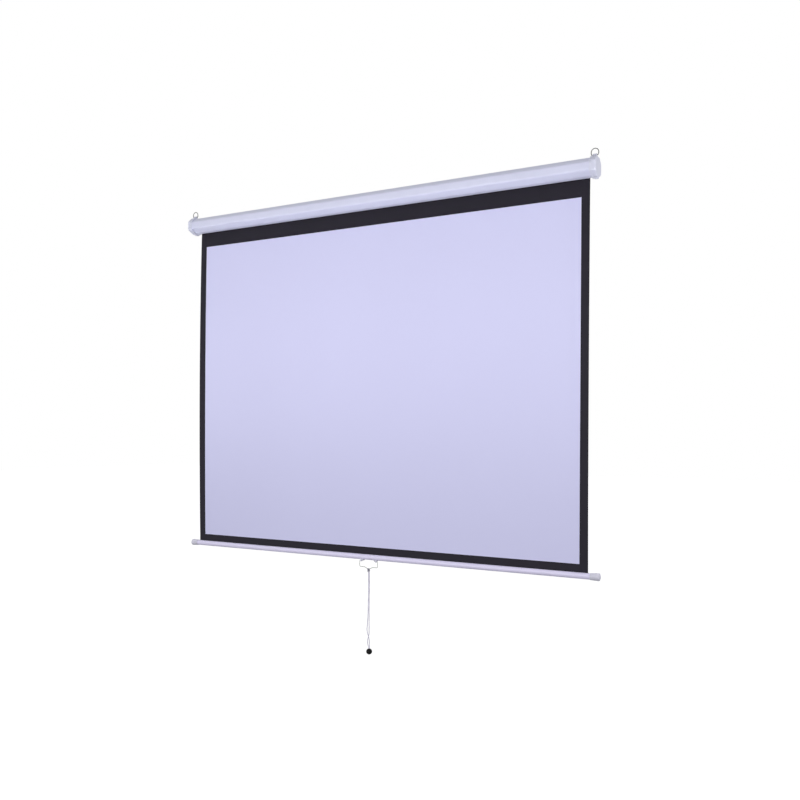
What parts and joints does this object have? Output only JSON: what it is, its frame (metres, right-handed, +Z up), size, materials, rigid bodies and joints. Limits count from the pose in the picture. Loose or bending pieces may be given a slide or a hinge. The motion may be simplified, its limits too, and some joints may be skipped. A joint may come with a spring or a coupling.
{
  "type": "pull-down projector screen",
  "caption": "Hanging pull-down projector screen: octagonal case on rings, spring roller with ratchet, black-edged white fabric, round bottom bar, wire handle and cord with ball.",
  "frame": {"origin": "midway between the undersides of the two hanging rings' crowns, where the wall or ceiling hooks bear", "axes": "+X to the right along the case as the audience sees it, +Y towards the wall, +Z up"},
  "size_m": [1.858, 0.075, 1.8639],
  "materials": {
    "white_paint": "satin powder coat",
    "white_plastic": "fine moulded grain",
    "grey_plastic": "moulded, slightly glossy",
    "black_cloth": "matt coated cloth",
    "white_cloth": "matt white coated cloth",
    "bright_steel": "zinc plated",
    "dark_steel": "oiled",
    "inner_plastic": "natural nylon",
    "cord_thread": "twisted string",
    "black_gloss": "polished"
  },
  "bodies": {
    "case": {"case_tube": "white_paint", "left_end_cap": "white_plastic", "right_end_cap": "white_plastic", "left_cap_screw_upper": "bright_steel", "left_cap_screw_lower": "bright_steel", "right_cap_screw_upper": "bright_steel", "right_cap_screw_lower": "bright_steel", "spring_bearing_plate": "dark_steel", "idle_bearing_plate": "dark_steel", "idle_bush": "inner_plastic", "spring_spindle": "dark_steel", "spring_anchor": "inner_plastic", "torsion_spring": "bright_steel", "ratchet_disc": "dark_steel", "screen_fabric": "black_cloth", "white_facing": "white_cloth"},
    "roller": {"roller_tube": "bright_steel", "fabric_roll": "black_cloth", "spring_end_plug": "inner_plastic", "idle_end_plug": "inner_plastic", "rear_pawl_rivet": "bright_steel", "front_pawl_rivet": "bright_steel"},
    "rear_pawl_body": {"rear_pawl": "bright_steel"},
    "front_pawl_body": {"front_pawl": "bright_steel"},
    "bottom_bar": {"bar_tube": "white_paint", "hem_rod": "inner_plastic", "lower_border": "black_cloth", "left_bar_cap": "grey_plastic", "right_bar_cap": "grey_plastic", "left_handle_clip": "grey_plastic", "right_handle_clip": "grey_plastic", "left_clip_rivet": "bright_steel", "right_clip_rivet": "bright_steel"},
    "handle": {"pull_handle": "bright_steel"},
    "hitch": {"cord_hitch": "cord_thread"},
    "pull_cord": {"left_strand": "cord_thread", "right_strand": "cord_thread", "pull_ball": "black_gloss"},
    "left_ring": {"left_hanging_ring": "bright_steel"},
    "right_ring": {"right_hanging_ring": "bright_steel"}
  },
  "joints": [
    {"name": "screen_travel", "type": "slide", "parent": "case", "child": "bottom_bar", "axis": [0, 0, 1], "range_m": [0, 1.35717], "deforming": ["screen_fabric", "white_facing"]},
    {"name": "roller_spin", "type": "hinge", "parent": "case", "child": "roller", "pos_m": [0, 0, -0.0627], "axis": [1, 0, 0], "range_deg": [0, 4320]},
    {"name": "rear_pawl_drop", "type": "hinge", "parent": "roller", "child": "rear_pawl_body", "pos_m": [-0.8928, 0.0145, -0.0627], "axis": [1, 0, 0], "range_deg": [0, 12]},
    {"name": "front_pawl_drop", "type": "hinge", "parent": "roller", "child": "front_pawl_body", "pos_m": [-0.8928, -0.0145, -0.0627], "axis": [1, 0, 0], "range_deg": [0, 12]},
    {"name": "handle_swing", "type": "hinge", "parent": "bottom_bar", "child": "handle", "pos_m": [0, 0.01159, -1.49025], "axis": [1, 0, 0], "range_deg": [-90, 90]},
    {"name": "hitch_swing", "type": "hinge", "parent": "handle", "child": "hitch", "pos_m": [0, 0.01159, -1.52265], "axis": [1, 0, 0], "range_deg": [-80, 80]},
    {"name": "cord_sway", "type": "hinge", "parent": "hitch", "child": "pull_cord", "pos_m": [0, 0.01159, -1.52265], "axis": [0, 1, 0], "range_deg": [-60, 60]},
    {"name": "left_ring_fold", "type": "hinge", "parent": "case", "child": "left_ring", "pos_m": [-0.9055, 0, -0.0216], "axis": [1, 0, 0], "range_deg": [-90, 90]},
    {"name": "right_ring_fold", "type": "hinge", "parent": "case", "child": "right_ring", "pos_m": [0.9055, 0, -0.0216], "axis": [1, 0, 0], "range_deg": [-90, 90]}
  ],
  "couplings": [
    {"joint": "roller_spin", "follows": "screen_travel", "rad_per_m": 55.556}
  ]
}
